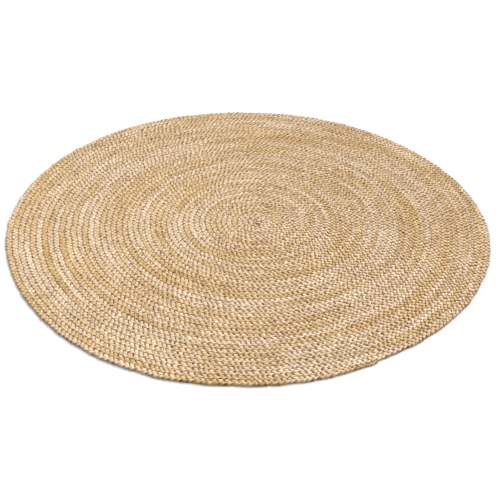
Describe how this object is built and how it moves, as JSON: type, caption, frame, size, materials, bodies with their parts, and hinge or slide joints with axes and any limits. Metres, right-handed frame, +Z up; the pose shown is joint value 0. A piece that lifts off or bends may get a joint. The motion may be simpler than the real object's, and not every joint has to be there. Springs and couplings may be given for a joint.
{
  "type": "round braided area rug",
  "caption": "Round flat area rug: a three-strand jute plait wound in a spiral and sewn turn to turn.",
  "frame": {"origin": "on the floor, at the middle of the rug's outline", "axes": "+Z up, through the rug's thickness; the picture looks along +Y with +X to the right, and the tail is at the front right"},
  "size_m": [1.1914, 1.1997, 0.008],
  "materials": {
    "jute_plait": "natural undyed jute, matt with a slight silky sheen along the fibres",
    "jute_thread": "natural twisted jute twine, matt"
  },
  "bodies": {
    "root": {"plait_turn_01": "jute_plait", "plait_turn_02": "jute_plait", "plait_turn_03": "jute_plait", "plait_turn_04": "jute_plait", "plait_turn_05": "jute_plait", "plait_turn_06": "jute_plait", "plait_turn_07": "jute_plait", "plait_turn_08": "jute_plait", "plait_turn_09": "jute_plait", "plait_turn_10": "jute_plait", "plait_turn_11": "jute_plait", "plait_turn_12": "jute_plait", "plait_turn_13": "jute_plait", "plait_turn_14": "jute_plait", "plait_turn_15": "jute_plait", "plait_turn_16": "jute_plait", "plait_turn_17": "jute_plait", "plait_turn_18": "jute_plait", "plait_turn_19": "jute_plait", "plait_turn_20": "jute_plait", "plait_turn_21": "jute_plait", "plait_turn_22": "jute_plait", "plait_turn_23": "jute_plait", "plait_turn_24": "jute_plait", "plait_turn_25": "jute_plait", "plait_turn_26": "jute_plait", "plait_turn_27": "jute_plait", "plait_turn_28": "jute_plait", "plait_turn_29": "jute_plait", "plait_turn_30": "jute_plait", "plait_turn_31": "jute_plait", "plait_turn_32": "jute_plait", "plait_turn_33": "jute_plait", "plait_turn_34": "jute_plait", "plait_turn_35": "jute_plait", "plait_turn_36": "jute_plait", "plait_turn_37": "jute_plait", "plait_turn_38": "jute_plait", "plait_turn_39": "jute_plait", "plait_turn_40": "jute_plait", "plait_turn_41": "jute_plait", "plait_turn_42": "jute_plait", "plait_turn_43": "jute_plait", "plait_turn_44": "jute_plait", "lacing_thread_1": "jute_thread", "lacing_thread_2": "jute_thread", "lacing_thread_3": "jute_thread", "lacing_thread_4": "jute_thread", "centre_start": "jute_plait", "tail_end": "jute_plait"}
  },
  "joints": []
}
